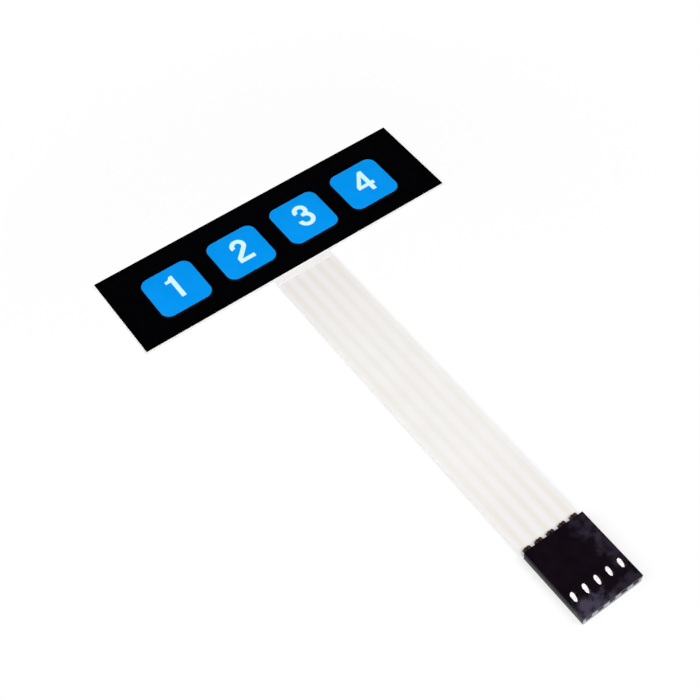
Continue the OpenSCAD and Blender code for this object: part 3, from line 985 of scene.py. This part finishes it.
@dataclass
class KeyPanel:
    """The laminated panel with its four keys."""

    key_pitch: float = 14.9 * MM
    film: float = 0.18 * MM
    corner_radius: float = 1.8 * MM
    foot_radius: float = 0.12 * MM
    under_steps: int = 4
    ink: float = 0.02 * MM
    ink_run: float = 0.18 * MM
    ink_short: float = 0.045 * MM
    ink_edge: float = 0.3
    numeral_proud: float = 0.006 * MM
    numeral_offset: Span = (0.1 * MM, 0.42 * MM)
    black: Finish = StretchedFilm(
        "black printed film", Slot.PRINTED_FILM,
        shade=(0.0002, 0.0001, 0.0005), mottle=(0.0006, 0.0004, 0.001), mottle_size=1.2 * MM,
        roughness=(0.2, 0.24), relief_size=0.12 * MM, relief_depth=0.0008 * MM,
        specular=0.16, dust=(0.04, 0.037, 0.04),
    )
    blue: Finish = ThinnedInk(
        "blue key ink", Slot.KEY_INK,
        shade=(0.0, 0.3, 0.88), mottle=(0.001, 0.312, 0.9), mottle_size=3 * MM,
        roughness=(0.2, 0.26), relief_depth=0.001 * MM, specular=0.38,
    )
    white: Finish = Finish(
        "pale numeral ink", Slot.KEY_INK,
        shade=(0.64, 0.955, 0.99), mottle=(0.69, 0.975, 1.0), mottle_size=0.8 * MM,
        roughness=(0.2, 0.26), relief_size=0.08 * MM, relief_depth=0.001 * MM, specular=0.4,
    )
    adhesive: Finish = Finish(
        "clear adhesive film", Slot.CLEAR_ADHESIVE,
        shade=(0.86, 0.85, 0.82), mottle=(0.92, 0.91, 0.88),
        relief_size=0.3 * MM, relief_depth=0.004 * MM,
    )
    steel: Finish = Finish(
        "rolled spring steel", Slot.SPRING_STEEL,
        shade=(0.6, 0.61, 0.63), mottle=(0.68, 0.68, 0.69), roughness=(0.16, 0.25),
        relief_size=0.05 * MM, metallic=1.0, wear_and_highlight=(0.8, 0.8, 0.8),
    )
    liner: Finish = LinerPaper(
        "release liner paper", Slot.LINER_PAPER,
        shade=(0.88, 0.87, 0.83), mottle=(0.92, 0.91, 0.87), mottle_size=5 * MM,
        roughness=(0.42, 0.56), relief_size=0.15 * MM, relief_depth=0.004 * MM, specular=0.3,
    )

    def __post_init__(self) -> None:
        """Reads the panel's and the keys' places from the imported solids."""
        self.low, self.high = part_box("graphic_overlay")
        low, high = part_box("key_print")
        count = len(Figure)
        width = high.x - low.x - (count - 1) * self.key_pitch
        self.outline = KeyOutline(width / 2, (high.y - low.y) / 2, self.corner_radius)
        self.key_y = (low.y + high.y) / 2
        middle = (low.x + high.x) / 2
        self.key_x = [middle + (i - (count - 1) / 2) * self.key_pitch for i in range(count)]
        raised = self.high.z - self.low.z - self.film
        self.shoulder = Shoulder(raised, self.foot_radius, raised)

    def film_rings(self, index: int) -> tuple[np.ndarray, np.ndarray]:
        """Carries the film's two surfaces round one key, from its cell's border to the flat top.

        A key's cell ends halfway to its neighbours and at the panel's rim. The underside rises
        straight from its foot, and turns over a quarter circle to its top.

        Args:
            index: number of the key, from 0.

        Returns:
            Rings of the upper side and of the underside, each rows by points by 3.
        """
        x = self.key_x[index]
        left = self.low.x - x if index == 0 else -self.key_pitch / 2
        right = self.high.x - x if index == len(self.key_x) - 1 else self.key_pitch / 2
        cell = (left, self.low.y - self.key_y), (right, self.high.y - self.key_y)
        face = self.low.z + self.film
        upper = [self.outline.frame_ring(*cell, face)]
        upper += [self.outline.ring(out, face + up) for out, up in self.shoulder.section()]
        inner = self.shoulder.top_radius - self.film
        middle = self.high.z - self.shoulder.top_radius
        under = [self.outline.frame_ring(*cell, self.low.z), self.outline.ring(inner, self.low.z)]
        for turn in np.linspace(math.pi / 2, 0, self.under_steps + 1):
            under.append(self.outline.ring(inner * math.sin(turn), middle + inner * math.cos(turn)))
        return tuple(np.array(rings) + [x, self.key_y, 0] for rings in (upper, under))

    def film_mesh(self) -> Mesh:
        """Makes the embossed film: both surfaces of every cell, and the walls at the panel's rim.

        Returns:
            The film's mesh.
        """
        shell = Shell()
        for index in range(len(self.key_x)):
            upper, under = self.film_rings(index)
            top_first = shell.loft(upper, [-1])
            under_first = shell.loft(under, [-1])
            rim = np.zeros(upper.shape[1], bool)
            for axis in (0, 1):
                for end in (self.low[axis], self.high[axis]):
                    on = np.abs(upper[0][:, axis] - end) < 2 * WELD
                    rim |= on & np.roll(on, -1)
            shell.walls(top_first, under_first, rim)
        return shell.mesh("key_overlay")

    def ink_mesh(self) -> Mesh:
        """Makes the ink fields: a skin over each flat top that runs a little way down the shoulder.

        The skin follows the upper arc of the shoulder, and thins out towards its edge. Its two
        long sides lie a little further in, where they dip under the film's surface.

        Returns:
            The mesh of all the fields.
        """
        plan = replace(self.outline, half_depth=self.outline.half_depth - self.ink_short)
        edge = math.asin(self.ink_run / self.shoulder.top_radius)
        fade = np.linspace(self.ink_edge, 1, self.shoulder.steps + 1)
        middle = self.high.z - self.shoulder.top_radius
        face = self.shoulder.upper(edge, self.ink * fade)
        back = self.shoulder.upper(edge, -self.ink / 2)[::-1]
        rings = np.array([plan.ring(out, middle + up) for out, up in (*back, *face)])
        shell = Shell()
        for x in self.key_x:
            shell.loft(rings + [x, self.key_y, 0], [0, -1])
        return shell.mesh("key_ink")

    def build(self, shop: Workshop) -> None:
        """Builds the panel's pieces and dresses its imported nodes.

        Args:
            shop: makes and dresses the pieces.
        """
        shop.piece("key_overlay", self.film_mesh(), self.black, "graphic_overlay")
        shop.piece("key_ink", self.ink_mesh(), self.blue, "key_print")
        right, up = self.numeral_offset
        for x, figure in zip(self.key_x, Figure):
            middle = (x + right, self.key_y + up, self.high.z + self.ink)
            plate = Numerals().plate(figure, middle, self.ink / 2, self.numeral_proud)
            shop.piece(f"numeral_{figure.value}", plate, self.white)
        shop.dress_nodes(self.adhesive, ("overlay_adhesive", "back_adhesive"))
        shop.dress_nodes(self.liner, ("release_liner",))
        shop.dress_nodes(self.steel, (f"snap_dome_{figure.value}" for figure in Figure))


@dataclass
class RibbonTail:
    """The films that carry the conductors, in the panel and down the tail."""

    cover: Finish = LanedFilm(
        "milky cover film", Slot.MILKY_FILM,
        shade=(0.88, 0.862, 0.842), mottle=(0.9, 0.884, 0.866), mottle_size=6 * MM,
        roughness=(0.3, 0.38), relief_size=0.4 * MM, relief_depth=0.003 * MM, specular=0.4,
    )
    spacer: Finish = Finish(
        "milky spacer film", Slot.MILKY_FILM,
        shade=(0.9, 0.88, 0.885), mottle=(0.92, 0.905, 0.905), mottle_size=3 * MM,
        roughness=(0.3, 0.42), relief_size=0.3 * MM, relief_depth=0.003 * MM,
    )
    silver: Finish = Finish(
        "printed silver", Slot.SILVER_PRINT,
        shade=(0.5, 0.47, 0.42), mottle=(0.62, 0.59, 0.53), mottle_size=0.3 * MM,
        roughness=(0.4, 0.55), relief_size=0.04 * MM, metallic=0.6,
    )

    def build(self, shop: Workshop) -> None:
        """Dresses the films and the conductors. The circuit film's lanes begin at the panel.

        Args:
            shop: dresses the nodes.
        """
        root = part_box("release_liner")[0].y
        shop.dress_nodes(self.cover, ("tail_cover",))
        circuit = replace(self.cover, name="milky circuit film", lane_start=root)
        shop.dress_nodes(circuit, ("circuit_film",))
        shop.dress_nodes(self.spacer, ("dome_spacer",))
        shop.dress_nodes(self.silver, ("common_conductor",))
        shop.dress_nodes(self.silver, (f"key_conductor_{figure.value}" for figure in Figure))


@dataclass
class SocketConnector:
    """The moulded housing and its five stamped contacts.

    A face counts as square to Y, or as along Y, by the size of the Y of its normal.
    """

    ways: int = 5
    rim: float = 0.08 * MM
    crease_deg: float = 35
    flat_deg: float = 1
    square: float = 0.999
    along: float = 0.01
    plastic: Finish = PlasticWithPaintedLight(
        "black moulded plastic", Slot.HOUSING_PLASTIC,
        shade=(0.005, 0.0024, 0.005), mottle=(0.0066, 0.0037, 0.0068), mottle_size=2.5 * MM,
        roughness=(0.2, 0.24), relief_size=0.06 * MM, relief_depth=0.001 * MM, specular=0.0,
        # The edge colour is partly wear and partly a painted highlight.
        coat_roughness=0.16, dust=(0.03, 0.028, 0.03), wear_and_highlight=(0.05, 0.042, 0.036),
        wear_and_highlight_radius=0.12 * MM,
    )
    tin: Finish = CrimpedTin(
        "tinned bronze", Slot.TINNED_BRONZE,
        shade=(0.6, 0.58, 0.56), mottle=(0.7, 0.68, 0.66), mottle_size=0.5 * MM,
        roughness=(0.29, 0.38), relief_size=0.06 * MM, relief_depth=0.0015 * MM, metallic=1.0,
    )

    def whole(self, packed: Mesh, node: str, rim: float) -> Mesh:
        """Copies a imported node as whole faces, with a round along the rims of its ends.

        The copy's coincident points are joined and its flat triangles merged. A rim edge is one
        between a face square to Y and a side face that looks away from the node's middle.

        Args:
            packed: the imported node's mesh.
            node: the node's name.
            rim: width of the round, or 0 for none.

        Returns:
            The copy, smooth between creases.
        """
        low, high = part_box(node)
        middle = (low + high) / 2
        work = bmesh.new()
        work.from_mesh(packed)
        bmesh.ops.remove_doubles(work, verts=work.verts, dist=WELD)
        flat = math.radians(self.flat_deg)
        bmesh.ops.dissolve_limit(work, angle_limit=flat, verts=work.verts, edges=work.edges)
        work.normal_update()
        if rim:
            rims = []
            for edge in work.edges:
                side, end = sorted(edge.link_faces, key=lambda face: abs(face.normal.y))
                outward = side.normal.dot(edge.verts[0].co - middle) > 0
                if abs(end.normal.y) > self.square and abs(side.normal.y) < self.along and outward:
                    rims.append(edge)
            bmesh.ops.bevel(
                work, geom=rims, offset=rim, offset_type="OFFSET", segments=2, profile=0.5,
                affect="EDGES", clamp_overlap=True,
            )
        mesh = bpy.data.meshes.new(node)
        work.to_mesh(mesh)
        work.free()
        smooth(mesh, self.crease_deg)
        return mesh

    def build(self, shop: Workshop) -> None:
        """Builds the housing and the contacts, shaded so that their flat faces stay flat.

        Args:
            shop: makes and dresses the pieces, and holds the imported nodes.
        """
        parts = [("connector_housing", "socket_housing", self.rim, self.plastic)]
        for way in range(1, self.ways + 1):
            parts.append((f"crimp_contact_{way}", f"contact_{way}", 0, self.tin))
        for node, name, rim, finish in parts:
            made = shop.piece(name, self.whole(shop.packed[node].data, node, rim), finish, node)
            made.modifiers.new("flat faces", "WEIGHTED_NORMAL").keep_sharp = True


@dataclass(frozen=True)
class Lamp:
    """A square softbox that faces a point of the keypad."""

    name: str
    place: Place
    side: float
    power: float
    aim: Place = (0.0, -0.04, 0.0)

    def build(self) -> None:
        """Hangs the lamp."""
        light = bpy.data.lights.new(self.name, "AREA")
        light.size = self.side
        light.energy = self.power
        made = bpy.data.objects.new(self.name, light)
        made.location = self.place
        ray = Vector(self.aim) - Vector(self.place)
        made.rotation_euler = ray.to_track_quat("-Z", "Y").to_euler()
        bpy.context.scene.collection.objects.link(made)


@dataclass
class Studio:
    """Pale floor, soft light and the camera."""

    camera_place: Place = (-0.08131, -0.14935, 0.19508)
    camera_aim: Place = (-0.00423, -0.03209, 0.0)
    camera_roll_deg: float = -3.18
    focal_mm: float = 66.4
    clip_start: float = 1 * MM
    floor_side: float = 3.0
    floor_drop: float = 0.02 * MM
    floor_shade: Colour = (0.97, 0.97, 0.97)
    floor_seen: float = 0.65
    floor_clears: Span = (0.05, 0.1)
    floor_mirrored: float = 0.5
    sky_levels: Span = (0.08, 0.42)
    sky_glow: Span = (0.76, 0.024)
    lamps: tuple[Lamp, ...] = (
        Lamp("key softbox", (0.2, -0.32, 0.58), 0.42, 3.4),
        Lamp("fill softbox", (-0.5, 0.0, 0.5), 0.5, 3.2),
    )

    def camera(self) -> None:
        """Places the camera where the photograph was taken from, with its slight roll."""
        lens = bpy.data.cameras.new("camera")
        lens.lens = self.focal_mm
        lens.clip_start = self.clip_start
        made = bpy.data.objects.new("camera", lens)
        made.location = self.camera_place
        ray = Vector(self.camera_aim) - Vector(self.camera_place)
        roll = Quaternion((0, 0, 1), math.radians(self.camera_roll_deg))
        made.rotation_mode = "QUATERNION"
        made.rotation_quaternion = ray.to_track_quat("-Z", "Y") @ roll
        bpy.context.scene.collection.objects.link(made)
        bpy.context.scene.camera = made

    def floor(self) -> None:
        """Lays the floor.

        The camera and reflections see its paint mixed with plain white, and the camera's share of
        white grows away from the keypad, where no shadow falls.
        """
        half = self.floor_side / 2
        mesh = bpy.data.meshes.new("floor")
        corners = [(-half, -half, 0), (half, -half, 0), (half, half, 0), (-half, half, 0)]
        mesh.from_pydata(corners, [], [(0, 1, 2, 3)])
        made = bpy.data.objects.new("floor", mesh)
        made.location.z = -self.floor_drop
        bpy.context.scene.collection.objects.link(made)
        sheet = bpy.data.materials.new("white backdrop")
        sheet.use_nodes = True
        mesh.materials.append(sheet)
        wiring = Wiring(sheet.node_tree)
        ends = {0: wiring.places(), 1: self.camera_aim}
        away = wiring.node("VectorMath", ends, operation="DISTANCE")["Value"]
        seen = wiring.remap(away, self.floor_clears, (self.floor_seen, 1))
        ray = wiring.node("LightPath", {})
        mirrored = wiring.math("MAXIMUM", ray["Is Glossy Ray"], ray["Is Transmission Ray"])
        lift = wiring.math(
            "MAXIMUM",
            wiring.math("MULTIPLY", ray["Is Camera Ray"], seen),
            wiring.math("MULTIPLY", mirrored, self.floor_mirrored),
        )
        paint = wiring.node("BsdfDiffuse", {"Color": self.floor_shade})[0]
        both = wiring.node("MixShader", {0: lift, 1: paint, 2: wiring.node("Emission", {})[0]})
        wiring.node("OutputMaterial", {"Surface": both[0]})

    def sky(self) -> None:
        """Surrounds the floor with a white backdrop that darkens towards the ceiling."""
        world = bpy.data.worlds.new("backdrop")
        world.use_nodes = True
        bpy.context.scene.world = world
        wiring = Wiring(world.node_tree)
        height = wiring.axes(wiring.node("TexCoord", {})["Generated"])["Z"]
        glow = wiring.remap(height, self.sky_levels, self.sky_glow)
        strength = wiring.math("MAXIMUM", wiring.node("LightPath", {})["Is Camera Ray"], glow)
        white = wiring.node("Background", {"Color": (1.0, 1.0, 1.0), "Strength": strength})
        wiring.node("OutputWorld", {"Surface": white[0]})

    def build(self) -> None:
        """Sets up the camera, the floor, the backdrop and the lamps."""
        self.camera()
        self.floor()
        self.sky()
        for lamp in self.lamps:
            lamp.build()
        bpy.context.scene.view_settings.view_transform = "Standard"
        LOG.info("studio: %d lamps", len(self.lamps))


def main() -> None:
    """Builds the studio and the keypad."""
    logging.basicConfig(level=logging.INFO, format="%(message)s")
    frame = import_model()
    Studio().build()
    shop = Workshop(frame)
    for part in (KeyPanel(), RibbonTail(), SocketConnector()):
        part.build(shop)


if __name__ == "__main__":
    main()
